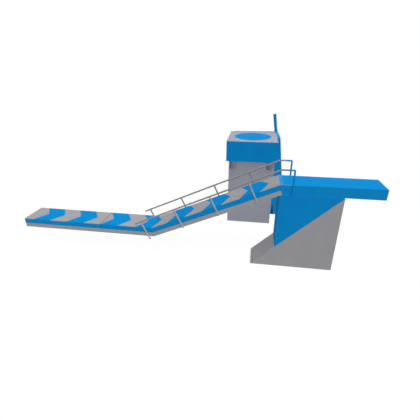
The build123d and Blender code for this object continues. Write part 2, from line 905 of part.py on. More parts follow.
with BuildPart() as rail_spigots:
    with BuildSketch(across(hoop_start_x, -rail_y, rail_z)):
        Circle(tube_radius - tube_wall)
        Circle(tube_radius - 2 * tube_wall, mode=Mode.SUBTRACT)
    extrude(amount=spigot_length / 2, both=True)
    mirror(about=Plane.XZ)
keep(rail_spigots, "rail_spigots")

rail_end_plane = Plane(origin=rail_start, x_dir=(0, 1, 0), z_dir=along_rail)
with BuildPart() as posts_front:
    for post_top in post_tops:
        with BuildSketch(Plane(origin=post_top, x_dir=(0, 1, 0), z_dir=-up_post)):
            Circle(tube_radius)
            Circle(tube_radius - tube_wall, mode=Mode.SUBTRACT)
        extrude(amount=post_length)
    # mouths that fit round the rail
    for post_top in post_tops:
        with BuildSketch(Plane(origin=post_top, x_dir=up_post, z_dir=along_rail)):
            Circle(tube_radius + weld_gap)
        extrude(amount=tube_diameter, both=True, mode=Mode.SUBTRACT)
keep(posts_front, "posts_front")
keep(mirrored(posts_front), "posts_back")

with BuildPart() as tube_caps:
    with BuildSketch(rail_end_plane):
        Circle(tube_radius)
    extrude(amount=-cap_thickness)
    for post_top in post_tops:
        with BuildSketch(Plane(origin=post_top - up_post * post_length, z_dir=-up_post)):
            Circle(tube_radius)
        extrude(amount=cap_thickness)
    mirror(about=Plane.XZ)
keep(tube_caps, "tube_caps")


def post_point(post_top, depth):
    """Point on a post's axis at a depth below the walking surface beside it."""
    surface = walkway_surface if post_top.X < bend_x else ramp_surface
    drop = (surface.to_local_coords(post_top).Z + depth) / up_post.dot(surface.z_dir)
    return post_top - up_post * drop


clamp_planes = [
    Plane(origin=post_point(post_top, depth), x_dir=along_rail, z_dir=up_post)
    for post_top in post_tops
    for depth in clamp_depths
]
hoop_clamp_plane = Plane(origin=(hoop_x, -rail_y, shaft_z), x_dir=(1, 0, 0), z_dir=(0, 0, 1))
all_clamp_planes = clamp_planes + [hoop_clamp_plane]
clamp_face = tube_radius + tube_standoff
stud_distance = (tube_radius + clamp_plate + clamp_reach) / 2


def stud_plane_on(clamp_plane):
    """Plane of a clamp's studs, on the face that the clamp is held to."""
    return Plane(
        origin=clamp_plane.from_local_coords((0, clamp_face, 0)),
        x_dir=clamp_plane.x_dir,
        z_dir=(0, -1, 0),
    )


with BuildPart() as clamps_front:
    for clamp_plane in all_clamp_planes:
        with BuildSketch(clamp_plane):
            Circle(tube_radius + clamp_plate)
            with Locations((0, clamp_face / 2)):
                Rectangle(2 * (tube_radius + clamp_plate), clamp_face)
            with Locations((0, clamp_face - clamp_plate / 2)):
                Rectangle(2 * clamp_reach, clamp_plate)
            with Locations((0, clamp_face + clamp_reach)):
                Rectangle(3 * clamp_reach, 2 * clamp_reach, mode=Mode.SUBTRACT)
            Circle(tube_radius, mode=Mode.SUBTRACT)
        extrude(amount=clamp_width / 2, both=True)
    for clamp_plane in all_clamp_planes:
        with BuildSketch(stud_plane_on(clamp_plane)):
            with GridLocations(2 * stud_distance, 1, 2, 1):
                Circle(stud_diameter / 2)
        extrude(amount=clamp_plate, mode=Mode.SUBTRACT)
keep(clamps_front, "clamps_front")
keep(mirrored(clamps_front), "clamps_back")

with BuildPart() as clamp_studs_front:
    for clamp_plane in all_clamp_planes:
        with BuildSketch(stud_plane_on(clamp_plane)):
            with GridLocations(2 * stud_distance, 1, 2, 1):
                Circle(stud_diameter / 2)
        extrude(amount=stud_length)
        with BuildSketch(stud_plane_on(clamp_plane).offset(clamp_plate)):
            with GridLocations(2 * stud_distance, 1, 2, 1):
                RegularPolygon(nut_width / 2, 6, major_radius=False)
        extrude(amount=nut_height)
    # anchors of the hoop's foot, set in the pier
    with BuildSketch(anchor_plane):
        with anchor_pair():
            Circle(anchor_diameter / 2)
    extrude(amount=-anchor_depth)
    with BuildSketch(anchor_plane):
        with anchor_pair():
            Circle(anchor_diameter / 2)
    extrude(amount=foot_plate)
    with BuildSketch(anchor_plane.offset(foot_plate)):
        with anchor_pair():
            RegularPolygon(nut_width / 2, 6, major_radius=False)
    extrude(amount=nut_height)
keep(clamp_studs_front, "clamp_studs_front")
keep(mirrored(clamp_studs_front), "clamp_studs_back")

foot_width = rail_y + tube_radius - half_width
with BuildPart() as hoop_feet:
    with BuildSketch(Plane.XY.offset(hoop_foot)):
        with Locations((hoop_x, -half_width - foot_width / 2)):
            Rectangle(foot_length, foot_width)
    extrude(amount=-foot_plate)
    with BuildSketch(Plane.XZ.offset(half_width)):
        with Locations((hoop_x, hoop_foot - foot_drop / 2)):
            Rectangle(foot_length, foot_drop)
    extrude(amount=foot_plate)
    with BuildSketch(anchor_plane):
        with anchor_pair():
            Circle(anchor_diameter / 2)
    extrude(amount=foot_plate, mode=Mode.SUBTRACT)
    mirror(about=Plane.XZ)
keep(hoop_feet, "hoop_feet")

# ---------------------------------------------------------------- tower
tower_right = tower_left + tower_width
tower_back = tower_front + tower_depth
tower_x = (tower_left + tower_right) / 2
tower_y = (tower_front + tower_back) / 2
head_left = tower_left - head_left_overhang
head_right = tower_right + head_right_overhang
head_front = tower_front - head_front_overhang
head_back = tower_back + head_back_overhang
head_top = head_bottom + head_height
head_x = (head_left + head_right) / 2
head_y = (head_front + head_back) / 2
head_width = head_right - head_left
head_depth = head_back - head_front
disc_y = head_front + disc_from_front


with BuildPart() as tower_end_walls:
    with BuildSketch():
        with Locations((tower_x, tower_y)):
            with GridLocations(1, tower_depth - tower_wall, 1, 2):
                Rectangle(tower_width, tower_wall)
    extrude(amount=head_bottom)
keep(tower_end_walls, "tower_end_walls")

with BuildPart() as tower_side_walls:
    with BuildSketch():
        with Locations((tower_x, tower_y)):
            with GridLocations(tower_width - tower_wall, 1, 2, 1):
                Rectangle(tower_wall, tower_depth - 2 * tower_wall)
    extrude(amount=head_bottom)
keep(tower_side_walls, "tower_side_walls")

with BuildPart() as tower_head:
    with BuildSketch(Plane.XY.offset(head_bottom)):
        with Locations((head_x, head_y)):
            Rectangle(head_width, head_depth)
    extrude(amount=head_height)
    with BuildSketch(Plane.XY.offset(head_bottom + head_floor)):
        with Locations((head_x, head_y)):
            Rectangle(head_width - 2 * head_wall, head_depth - 2 * head_wall)
    extrude(amount=head_height, mode=Mode.SUBTRACT)
    # rebate that the top slab drops into
    with BuildSketch(Plane.XY.offset(head_top - top_slab)):
        with Locations((head_x, head_y)):
            Rectangle(head_width - 2 * head_rim, head_depth - 2 * head_rim)
    extrude(amount=top_slab, mode=Mode.SUBTRACT)
keep(tower_head, "tower_head")

with BuildPart() as tower_top:
    with BuildSketch(Plane.XY.offset(head_top)):
        with Locations((head_x, head_y)):
            Rectangle(head_width - 2 * head_rim, head_depth - 2 * head_rim)
    extrude(amount=-top_slab)
    with BuildSketch(Plane.XY.offset(head_top)):
        with Locations((head_x, disc_y)):
            Circle(disc_diameter / 2)
    extrude(amount=disc_proud - disc_thickness, mode=Mode.SUBTRACT)
keep(tower_top, "tower_top")

with BuildPart() as tower_disc:
    with BuildSketch(Plane.XY.offset(head_top + disc_proud)):
        with Locations((head_x, disc_y)):
            Circle(disc_diameter / 2)
    extrude(amount=-disc_thickness)
keep(tower_disc, "tower_disc")

housing_distance = tower_width - 2 * (housing_inset + housing_radius)
with BuildPart() as tower_housings:
    with BuildSketch(Plane.XY.offset(head_bottom)):
        with Locations((tower_x, tower_front)):
            with GridLocations(housing_distance, 1, 2, 1):
                Circle(housing_radius)
                Circle(housing_radius - housing_wall, mode=Mode.SUBTRACT)
        with Locations((tower_x, tower_front + housing_radius)):
            Rectangle(tower_width, 2 * housing_radius, mode=Mode.SUBTRACT)
    extrude(amount=-housing_height)
    with BuildSketch(Plane.XY.offset(head_bottom - housing_height)):
        with Locations((tower_x, tower_front)):
            with GridLocations(housing_distance, 1, 2, 1):
                Circle(housing_radius)
        with Locations((tower_x, tower_front + housing_radius)):
            Rectangle(tower_width, 2 * housing_radius, mode=Mode.SUBTRACT)
    extrude(amount=housing_wall)
keep(tower_housings, "tower_housings")

# blue annex: a battered casing on the tower's right that also wraps round its back, with its
# top level with the head
annex_side = Plane.XZ.offset(-annex_front)
hatch_x = tower_right + hatch_inset


def annex_plan(right_x):
    """Plan of the annex at the height where its right face starts at right_x."""
    return (
        (tower_right, annex_front),
        (right_x, annex_front),
        (right_x - annex_back_taper, head_back + annex_back_right),
        (head_left + annex_left_inset, head_back + annex_back_left),
        (head_left + annex_left_inset, tower_back),
        (tower_right, tower_back),
    )


with BuildPart() as tower_annex:
    for height, right_x in (
        (0, tower_right + annex_foot_width),
        (head_top, head_right + annex_top_width),
    ):
        with BuildSketch(Plane.XY.offset(height)):
            with BuildLine():
                Polyline(*annex_plan(right_x), close=True)
            make_face()
    loft(ruled=True)
    # room for the tower's head
    with BuildSketch(Plane.XY.offset(head_bottom)):
        with Locations((head_x, head_y)):
            Rectangle(head_width, head_depth)
    extrude(amount=head_height, mode=Mode.SUBTRACT)
    fillet(
        tower_annex.edges().group_by(Axis.Z)[-1].filter_by(Axis.X).sort_by(Axis.Y)[0],
        annex_round,
    )
    offset(amount=-annex_wall, mode=Mode.SUBTRACT)
    with BuildSketch(annex_side) as hatch_outline:
        with BuildLine():
            Polyline(
                (hatch_x, annex_wall),
                (hatch_x + hatch_width, annex_wall),
                (hatch_x + hatch_width / 2, hatch_height),
                close=True,
            )
        make_face()
    extrude(amount=-annex_wall, mode=Mode.SUBTRACT)
keep(tower_annex, "tower_annex")

with BuildPart() as annex_hatch:
    with BuildSketch(annex_side.offset(-hatch_set_back)):
        add(hatch_outline.sketch_local)
    extrude(amount=hatch_set_back - annex_wall)
keep(annex_hatch, "annex_hatch")

mast_foot = Vector(head_right - mast_inset, head_back + mast_set_back, head_top)
mast_axis = Vector(-sin(radians(mast_lean)), 0, cos(radians(mast_lean)))
with BuildPart() as tower_mast:
    with BuildSketch(Plane(origin=mast_foot, x_dir=(0, 1, 0), z_dir=mast_axis)):
        Circle(mast_diameter / 2)
    extrude(amount=mast_height)
    extrude(
        tower_mast.faces().sort_by(Axis.Z)[0],
        amount=mast_diameter * tan(radians(mast_lean)),
    )
    split(bisect_by=Plane.XY.offset(head_top), keep=Keep.TOP)
    offset(amount=-mast_wall, openings=tower_mast.faces().sort_by(Axis.Z)[0])
keep(tower_mast, "tower_mast")
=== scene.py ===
import json
import math

import bmesh
import bpy
from mathutils import Matrix, Vector

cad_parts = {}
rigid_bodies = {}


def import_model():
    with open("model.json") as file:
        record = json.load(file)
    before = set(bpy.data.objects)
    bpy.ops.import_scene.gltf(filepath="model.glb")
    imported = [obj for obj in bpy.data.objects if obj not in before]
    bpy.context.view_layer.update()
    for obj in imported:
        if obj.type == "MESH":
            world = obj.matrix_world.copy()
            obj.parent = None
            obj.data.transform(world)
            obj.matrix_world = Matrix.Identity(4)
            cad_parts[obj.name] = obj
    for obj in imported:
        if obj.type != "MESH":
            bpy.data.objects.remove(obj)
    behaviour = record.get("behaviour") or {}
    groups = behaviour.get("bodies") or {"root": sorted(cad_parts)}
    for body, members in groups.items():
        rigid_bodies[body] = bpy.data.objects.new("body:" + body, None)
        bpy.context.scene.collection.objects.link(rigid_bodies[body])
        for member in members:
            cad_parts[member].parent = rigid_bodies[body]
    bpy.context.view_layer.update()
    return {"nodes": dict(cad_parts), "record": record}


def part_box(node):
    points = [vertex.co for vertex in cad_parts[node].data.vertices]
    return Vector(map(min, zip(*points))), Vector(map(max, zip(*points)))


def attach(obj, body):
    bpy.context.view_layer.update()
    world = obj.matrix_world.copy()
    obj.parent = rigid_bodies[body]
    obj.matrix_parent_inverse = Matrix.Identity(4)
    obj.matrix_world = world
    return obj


for leftover in list(bpy.data.objects):
    bpy.data.objects.remove(leftover)

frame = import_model()

# Metres, in the CAD model's frame: X towards the pool, Y across, Z up.

# ------------------------------------------------------------------ places taken from the frame
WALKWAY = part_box("walkway_grip_grey")
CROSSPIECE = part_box("landing_crosspiece")
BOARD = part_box("board_tread")
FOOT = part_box("wedge_foot")
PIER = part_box("pier")
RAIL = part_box("rail_front")
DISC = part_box("tower_disc")
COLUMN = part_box("tower_end_walls")
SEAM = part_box("seam_gasket")

HALF_WIDTH = WALKWAY[1].y
WALKWAY_START = WALKWAY[0].x
WALKWAY_TOP = WALKWAY[1].z
RAMP_SLOPE = math.radians(23.5)
RAMP_END = CROSSPIECE[0].x
RAMP_RISE = CROSSPIECE[1].z - WALKWAY_TOP
RAMP_LENGTH = RAMP_RISE / math.sin(RAMP_SLOPE)
BEND = RAMP_END - RAMP_RISE / math.tan(RAMP_SLOPE)
RAIL_SLOPE = math.radians(24.5)
TUBE_RADIUS = (RAIL[1].y - RAIL[0].y) / 2
FIRST_POST = 0.35
POST_PITCH = 2.178
POST_COUNT = 4

# of a run's chevrons: the first tip, the pitch, the first blue band, how much longer a blue
# band is than a grey one, and how far a notch leads its edge's ends
WALKWAY_BANDS = (1.093, 1.08, 1, 0.026, 0.5)
RAMP_BANDS = (0.376, 1.096, 0, 0.098, 0.425)
CHEVRON_POINT = 0.5

# ------------------------------------------------------------------ colours, as sRGB
GREY = (163, 162, 165)
BLUE = (2, 138, 208)
BOARD_BLUE = (6, 139, 209)
TOWER_GREY = (161, 163, 174)
# Painted shade: the two tube colours are darker copies of GREY and BLUE, standing in for the
# shade on the thin rails, posts, hoops and mast.
SHADED_TUBE_GREY = (143, 142, 145)
SHADED_TUBE_BLUE = (6, 135, 204)
DARK_GREY = (128, 129, 134)
# Painted shade: the hatch's near-black stands in for the shade inside the annex's opening.
HATCH_SHADE_DARK = (28, 42, 54)
STEEL = (150, 152, 156)
BRONZE = (160, 118, 60)
BLACK = (32, 32, 34)
SEAM_GREY = (72, 73, 76)


# ------------------------------------------------------------------ materials
CLAMP_FLANGE = 0.007  # the clamps are blue for this far out from the decks' sides
CLAMP_PAINT_EDGE = 0.001
LANDING_PAINT_EDGE = 0.01


def linear(colour, factor=1.0):
    """An sRGB colour as a linear RGBA tuple, lighter or darker by a factor."""
    parts = []
    for value in colour:
        share = value / 255
        bright = share / 12.92 if share <= 0.04045 else ((share + 0.055) / 1.055) ** 2.4
        parts.append(min(bright * factor, 1.0))
    return (*parts, 1.0)


class Recipe:
    """A node material in the making, with the object's own coordinates to hand."""

    def __init__(self, name):
        self.material = bpy.data.materials.new(name)
        self.material.use_nodes = True
        self.tree = self.material.node_tree
        self.shader = self.tree.nodes["Principled BSDF"]
        self.place = self.tree.nodes.new("ShaderNodeTexCoord").outputs["Object"]
        self.height = None

    def node(self, kind, **settings):
        made = self.tree.nodes.new(kind)
        for key, value in settings.items():
            setattr(made, key, value)
        return made

    def link(self, source, target):
        self.tree.links.new(source, target)

    def noise(self, scale, detail=4.0, roughness=0.55, stretch=None):
        """Cloudy noise from 0 to 1; scale is in cells per metre."""
        texture = self.node("ShaderNodeTexNoise")
        texture.inputs["Scale"].default_value = scale
        texture.inputs["Detail"].default_value = detail
        texture.inputs["Roughness"].default_value = roughness
        source = self.place
        if stretch:
            mapping = self.node("ShaderNodeMapping")
            mapping.inputs["Scale"].default_value = stretch
            self.link(self.place, mapping.inputs["Vector"])
            source = mapping.outputs["Vector"]
        self.link(source, texture.inputs["Vector"])
        return texture.outputs["Fac"]

    def cells(self, scale):
        """Distance to the nearest point of a random scatter, in cells per metre."""
        texture = self.node("ShaderNodeTexVoronoi")
        texture.inputs["Scale"].default_value = scale
        self.link(self.place, texture.inputs["Vector"])
        return texture.outputs["Distance"]

    def spread(self, value, low=0.0, high=1.0, to_low=0.0, to_high=1.0):
        """The value between low and high, stretched to a new range."""
        ranged = self.node("ShaderNodeMapRange")
        for key, number in zip(
            ("From Min", "From Max", "To Min", "To Max"), (low, high, to_low, to_high)
        ):
            ranged.inputs[key].default_value = number
        self.link(value, ranged.inputs["Value"])
        return ranged.outputs["Result"]

    def blend(self, amount, first, second):
        """Mix of two colours or colour sockets."""
        mix = self.node("ShaderNodeMix", data_type="RGBA")
        self.link(amount, mix.inputs["Factor"])
        for key, colour in (("A", first), ("B", second)):
            target = next(i for i in mix.inputs if i.name == key and i.type == "RGBA")
            if isinstance(colour, tuple):
                target.default_value = colour
            else:
                self.link(colour, target)
        return next(o for o in mix.outputs if o.type == "RGBA")

    def relief(self, height, depth, strength=1.0):
        """Bump of a depth in metres, laid over the bumps made before."""
        bump = self.node("ShaderNodeBump")
        bump.inputs["Strength"].default_value = strength
        bump.inputs["Distance"].default_value = depth
        self.link(height, bump.inputs["Height"])
        if self.height is not None:
            self.link(self.height, bump.inputs["Normal"])
        self.height = bump.outputs["Normal"]

    def finish(self, colour, roughness=None, metallic=0.0, flat_roughness=0.5, specular=0.5):
        """Join colour, roughness and bumps to the shader, and return the material."""
        self.link(colour, self.shader.inputs["Base Color"])
        self.shader.inputs["Metallic"].default_value = metallic
        self.shader.inputs["Specular IOR Level"].default_value = specular
        if roughness is None:
            self.shader.inputs["Roughness"].default_value = flat_roughness
        else:
            self.link(roughness, self.shader.inputs["Roughness"])
        if self.height is not None:
            self.link(self.height, self.shader.inputs["Normal"])
        return self.material


def painted_concrete(name, colour):
    """Smooth cast concrete under masonry paint: soft clouding and small blow-holes."""
    recipe = Recipe(name)
    clouds = recipe.spread(recipe.noise(scale=0.9, detail=6), low=0.3, high=0.7)
    base = recipe.blend(clouds, linear(colour, 0.965), linear(colour, 1.035))
    drips = recipe.noise(scale=1.0, detail=3, stretch=(5, 5, 0.35))
    streaks = recipe.spread(drips, low=0.45, high=0.8, to_high=0.35)
    base = recipe.blend(streaks, base, linear(colour, 0.955))
    pores = recipe.spread(recipe.cells(scale=28), low=0.06, high=0.12, to_low=1, to_high=0)
    dirt = recipe.spread(pores, to_high=0.35)
    base = recipe.blend(dirt, base, linear(colour, 0.75))
    recipe.relief(recipe.noise(scale=45, detail=5), depth=0.0016, strength=0.5)
    recipe.relief(recipe.spread(pores, to_low=1, to_high=0), depth=0.003, strength=0.5)
    rough = recipe.spread(recipe.noise(scale=6), low=0.3, high=0.7, to_low=0.68, to_high=0.82)
    return recipe.finish(base, rough, specular=0.1)


def sprayed_surface(recipe):
    """Orange peel of sprayed paint; returns its roughness."""
    recipe.relief(recipe.noise(scale=320, detail=2), depth=0.0004, strength=0.35)
    patches = recipe.noise(scale=9, detail=5)
    return recipe.spread(patches, low=0.3, high=0.7, to_low=0.42, to_high=0.56)


def satin_paint(name, colour, dust=0.15):
    """Sprayed two-pack paint on plate or tube: orange peel and paler, chalked patches."""
    recipe = Recipe(name)
    clouds = recipe.spread(recipe.noise(scale=1.4, detail=5), low=0.35, high=0.65)
    base = recipe.blend(clouds, linear(colour, 0.975), linear(colour, 1.025))
    chalk = recipe.noise(scale=11, detail=7, roughness=0.7)
    dusty = recipe.spread(chalk, low=0.55, high=0.8, to_high=dust)
    base = recipe.blend(dusty, base, linear(colour, 1.3))
    return recipe.finish(base, sprayed_surface(recipe), specular=0.12)


def clamp_paint(name):
    """Satin paint that follows each part's neighbour: blue on the decks, grey on grey posts."""
    recipe = Recipe(name)
    parted = recipe.node("ShaderNodeSeparateXYZ")
    recipe.link(recipe.place, parted.inputs["Vector"])
    outward = recipe.node("ShaderNodeMath", operation="ABSOLUTE")
    recipe.link(parted.outputs["Y"], outward.inputs[0])
    flange_face = HALF_WIDTH + CLAMP_FLANGE
    strap = recipe.spread(
        outward.outputs[0], low=flange_face, high=flange_face + CLAMP_PAINT_EDGE
    )
    on_deck = recipe.spread(
        parted.outputs["X"], low=RAMP_END - LANDING_PAINT_EDGE, high=RAMP_END, to_low=1, to_high=0
    )
    both = recipe.node("ShaderNodeMath", operation="MULTIPLY")
    recipe.link(strap, both.inputs[0])
    recipe.link(on_deck, both.inputs[1])
    # the grey part takes the tubes' grey, darkened as painted shade
    base = recipe.blend(both.outputs[0], linear(BLUE), linear(SHADED_TUBE_GREY))
    return recipe.finish(base, sprayed_surface(recipe), specular=0.12)


def grit_coat(name, colour):
    """Moulded anti-slip panel: a pebbled rubber face with worn paler tips."""
    recipe = Recipe(name)
    clouds = recipe.spread(recipe.noise(scale=1.2, detail=5), low=0.3, high=0.7)
    base = recipe.blend(clouds, linear(colour, 0.97), linear(colour, 1.03))
    pebbles = recipe.spread(recipe.cells(scale=120), low=0.05, high=0.55, to_low=1, to_high=0)
    hollows = recipe.spread(pebbles, to_low=0.22, to_high=0)
    base = recipe.blend(hollows, base, linear(colour, 0.88))
    recipe.relief(pebbles, depth=0.0022, strength=0.6)
    recipe.relief(recipe.noise(scale=420, detail=2), depth=0.0004, strength=0.4)
    rough = recipe.spread(recipe.noise(scale=14), low=0.3, high=0.7, to_low=0.66, to_high=0.8)
    return recipe.finish(base, rough, specular=0.05)


def bare_metal(name, colour, brushed=(1, 40, 1), shine=0.32):
    """Turned or rolled metal with fine lines and slight tarnish."""
    recipe = Recipe(name)
    lines = recipe.noise(scale=24, detail=3, stretch=brushed)
    tarnish = recipe.spread(recipe.noise(scale=7, detail=6), low=0.35, high=0.75)
    base = recipe.blend(tarnish, linear(colour, 1.05), linear(colour, 0.82))
    recipe.relief(lines, depth=0.0003, strength=0.4)
    wear = recipe.noise(scale=18, detail=4)
    rough = recipe.spread(wear, low=0.3, high=0.7, to_low=shine - 0.06, to_high=shine + 0.08)
    return recipe.finish(base, rough, metallic=1.0)


def soft_rubber(name, colour):
    """Solid rubber with a fine moulded grain and a bloom of dust."""
    recipe = Recipe(name)
    dust = recipe.noise(scale=8, detail=6)
    bloom = recipe.spread(dust, low=0.4, high=0.75, to_high=0.35)
    base = recipe.blend(bloom, linear(colour), linear(colour, 1.9))
    recipe.relief(recipe.noise(scale=500, detail=2), depth=0.0003, strength=0.5)
    return recipe.finish(base, flat_roughness=0.78, specular=0.3)


FINISHES = {
    "grey_concrete": painted_concrete("grey_cast_concrete", GREY),
    "blue_concrete": painted_concrete("blue_painted_concrete", BLUE),
    "tower_panel": painted_concrete("tower_panel_paint", TOWER_GREY),
    "blue_paint": satin_paint("blue_satin_paint", BLUE),
    "grey_paint": satin_paint("grey_satin_paint", GREY),
    "board_paint": satin_paint("board_blue_paint", BOARD_BLUE),
    "dark_paint": satin_paint("dark_grey_paint", DARK_GREY, dust=0.3),
    # painted shade: the rail and hoop paints are darker copies of the grey and blue paints
    "rail_paint_and_shade": satin_paint("rail_grey_paint_and_painted_shade", SHADED_TUBE_GREY),
    "hoop_paint_and_shade": satin_paint("hoop_blue_paint_and_painted_shade", SHADED_TUBE_BLUE),
    "clamp_paint": clamp_paint("clamp_two_colour_paint"),
    # painted shade: near-black for the shade inside the annex opening
    "hatch_shade": satin_paint("hatch_painted_shade", HATCH_SHADE_DARK, dust=0.3),
    "blue_grip": grit_coat("blue_anti_slip", BLUE),
    "grey_grip": grit_coat("grey_anti_slip", GREY),
    "board_grip": grit_coat("board_anti_slip", BOARD_BLUE),
    "steel": bare_metal("rolled_steel", STEEL),
    "bronze": bare_metal("bearing_bronze", BRONZE, brushed=(1, 1, 30), shine=0.38),
    "black_rubber": soft_rubber("black_seat_rubber", BLACK),
    "seam_rubber": soft_rubber("grey_seam_rubber", SEAM_GREY),
}

# nodes whose finish isn't that of their record slot
SPECIAL_FINISH = {
    # painted shade: the hatch is near-black to stand for the shade in the annex opening
    "annex_hatch": "hatch_shade",
    # painted shade: the rails, back posts, caps, hoops and mast take the darker tube paints
    "rail_front": "rail_paint_and_shade",
    "rail_back": "rail_paint_and_shade",
    "posts_back": "rail_paint_and_shade",
    "tube_caps": "rail_paint_and_shade",
    "hoop_front": "hoop_paint_and_shade",
    "hoop_back": "hoop_paint_and_shade",
    "tower_mast": "hoop_paint_and_shade",
    "clamps_front": "clamp_paint",
    "clamps_back": "clamp_paint",
    "board_shell": "board_paint",
    "board_tread": "board_paint",
    "board_nosing": "board_paint",
}


def dress_nodes():
    """Give every CAD node the finish of its slot, or its own special one."""
    slots = {row["node"]: row["material_slot"] for row in frame["record"]["subparts"]}
    for node, piece in frame["nodes"].items():
        finish = FINISHES[SPECIAL_FINISH.get(node, slots[node])]
        for material_slot in piece.material_slots:
            material_slot.material = finish


# ------------------------------------------------------------------ piece helpers
SAME_POINT = 1e-6
SHARP_ANGLE = math.radians(40)


def piece_from(name, shape, finish, body="stand"):
    """Turn a bmesh into a finished piece that rides on a body."""
    bmesh.ops.remove_doubles(shape, verts=shape.verts, dist=SAME_POINT)
    bmesh.ops.recalc_face_normals(shape, faces=shape.faces)
    mesh = bpy.data.meshes.new(name)
    shape.to_mesh(mesh)
    shape.free()
    mesh.materials.append(FINISHES[finish])
    piece = bpy.data.objects.new(name, mesh)
    bpy.context.scene.collection.objects.link(piece)
    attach(piece, body)
    return piece


def smooth(piece, angle=SHARP_ANGLE):
    """Shade a piece smooth except over edges sharper than the angle."""
    for face in piece.data.polygons:
        face.use_smooth = True
    piece.data.set_sharp_from_angle(angle=angle)


def bevelled_bar(shape, size, matrix, bevel=0.0, segments=2):
    """Box of a size, its edges rounded, set in place by a matrix."""
    made = bmesh.ops.create_cube(shape, size=1.0, matrix=Matrix.Diagonal((*size, 1.0)))
    corners = made["verts"]
    if bevel:
        edges = list({edge for corner in corners for edge in corner.link_edges})
        rounded = bmesh.ops.bevel(
            shape,
            geom=edges,
            offset=bevel,
            affect="EDGES",
            segments=segments,
            profile=0.5,
            material=-1,
        )
        corners = rounded["verts"]
    bmesh.ops.transform(shape, matrix=matrix, verts=corners)


def round_bar(shape, matrix, radius, length, segments, far_radius=None):
    """Closed round bar along the matrix's Z axis, tapered where its far radius is given."""
    bmesh.ops.create_cone(
        shape,
        cap_ends=True,
        segments=segments,
        radius1=radius,
        radius2=far_radius or radius,
        depth=length,
        matrix=matrix,
    )


def full_turn(shape, section, edges, steps):
    """Spin a closed section once round the Z axis."""
    bmesh.ops.spin(
        shape,
        geom=section + edges,
        cent=(0, 0, 0),
        axis=(0, 0, 1),
        angle=2 * math.pi,
        steps=steps,
        use_merge=True,
    )


def surface_matrix(x, z, slope):
    """Matrix whose X runs along a sloping surface, from a point in the middle of the width."""
    return Matrix.Translation((x, 0, z)) @ Matrix.Rotation(-slope, 4, "Y")


# ------------------------------------------------------------------ grip ribs
RIB_SPACING = 0.132
RIB_WIDTH = 0.016
RIB_HEIGHT = 0.0025
RIB_EDGE = 0.03


def chevron_edges(length, first_tip, pitch, first_blue, blue_extra, notch):
    """Along a run, each chevron edge's middle and how far it leads the edge's ends."""
    edges = []
    for i in range(int((length + CHEVRON_POINT - first_tip) / pitch) + 3):
        middle = first_tip + (i - 1) * pitch
        if (i - 1 - first_blue) % 2 == 0:
            edges.append((middle + blue_extra / 2, CHEVRON_POINT))
        else:
            edges.append((middle - blue_extra / 2, notch))
    return edges


def chevron_ribs(name, place, length, edges, start_band, finish):
    """Low ribs on every second band of a run, turning from one edge's angle to the next's."""
    shape = bmesh.new()
    reach = HALF_WIDTH - RIB_EDGE
    for band in range(start_band, len(edges) - 1, 2):
        (tail, tail_lead), (tip, tip_lead) = edges[band], edges[band + 1]
        band_ribs = round((tip - tail) / RIB_SPACING)
        for rib in range(band_ribs):
            share = (rib + 0.5) / band_ribs
            crest = tail + share * (tip - tail)
            lean = (tail_lead + share * (tip_lead - tail_lead)) / HALF_WIDTH
            if crest - lean * reach < RIB_EDGE or crest > length - RIB_EDGE:
                continue
            for side in (-1, 1):
                skew = Matrix.Identity(4)
                skew[0][1] = -side * lean
                middle = Matrix.Translation((crest, 0, RIB_HEIGHT / 2))
                arm = Matrix.Translation((0, side * reach / 2, 0))
                bevelled_bar(
                    shape, (RIB_WIDTH, reach, RIB_HEIGHT), place @ middle @ skew @ arm
                )
    return piece_from(name, shape, finish)


def make_grip_ribs():
    """Ribs on the chevrons of walkway and ramp, each in its band's own colour."""
    walkway = surface_matrix(WALKWAY_START, WALKWAY_TOP, 0)
    ramp = surface_matrix(BEND, WALKWAY_TOP, RAMP_SLOPE)
    walkway_length = BEND - WALKWAY_START
    walkway_run = (walkway, walkway_length, chevron_edges(walkway_length, *WALKWAY_BANDS))
    ramp_run = (ramp, RAMP_LENGTH, chevron_edges(RAMP_LENGTH, *RAMP_BANDS))
    chevron_ribs("walkway_ribs_grey", *walkway_run, 0, "grey_grip")
    chevron_ribs("walkway_ribs_blue", *walkway_run, 1, "blue_grip")
    chevron_ribs("ramp_ribs_blue", *ramp_run, 0, "blue_grip")
    chevron_ribs("ramp_ribs_grey", *ramp_run, 1, "grey_grip")


# ------------------------------------------------------------------ board
MAT_MARGIN = 0.03
MAT_THICKNESS = 0.003
MAT_BEVEL = 0.001
TREAD_RIB_PITCH = 0.075
TREAD_RIB_WIDTH = 0.012
TREAD_RIB_HEIGHT = 0.002
TREAD_RIB_MARGIN = 0.04


def make_board_mat():
    """Thin anti-slip mat with fine cross ribs, bonded to the board's tread."""
    low, high = BOARD
    length = high.x - low.x - 2 * MAT_MARGIN
    width = high.y - low.y - 2 * MAT_MARGIN
    middle = Vector(((low.x + high.x) / 2, 0, high.z + MAT_THICKNESS / 2))
    shape = bmesh.new()
    mat_size = (length, width, MAT_THICKNESS)
    bevelled_bar(shape, mat_size, Matrix.Translation(middle), bevel=MAT_BEVEL)
    count = int((length - 2 * TREAD_RIB_MARGIN) / TREAD_RIB_PITCH)
    rib_size = (TREAD_RIB_WIDTH, width - 2 * TREAD_RIB_MARGIN, TREAD_RIB_HEIGHT)
    for i in range(count):
        x = middle.x + (i - (count - 1) / 2) * TREAD_RIB_PITCH
        z = high.z + MAT_THICKNESS + TREAD_RIB_HEIGHT / 2
        bevelled_bar(shape, rib_size, Matrix.Translation((x, 0, z)))
    piece_from("board_mat", shape, "board_grip", body="board")


# ------------------------------------------------------------------ railings
BEAD_RADIUS = 0.006
BEAD_SIDES = 8
BEAD_STEPS = 40
BEAD_SHARP_ANGLE = math.radians(60)


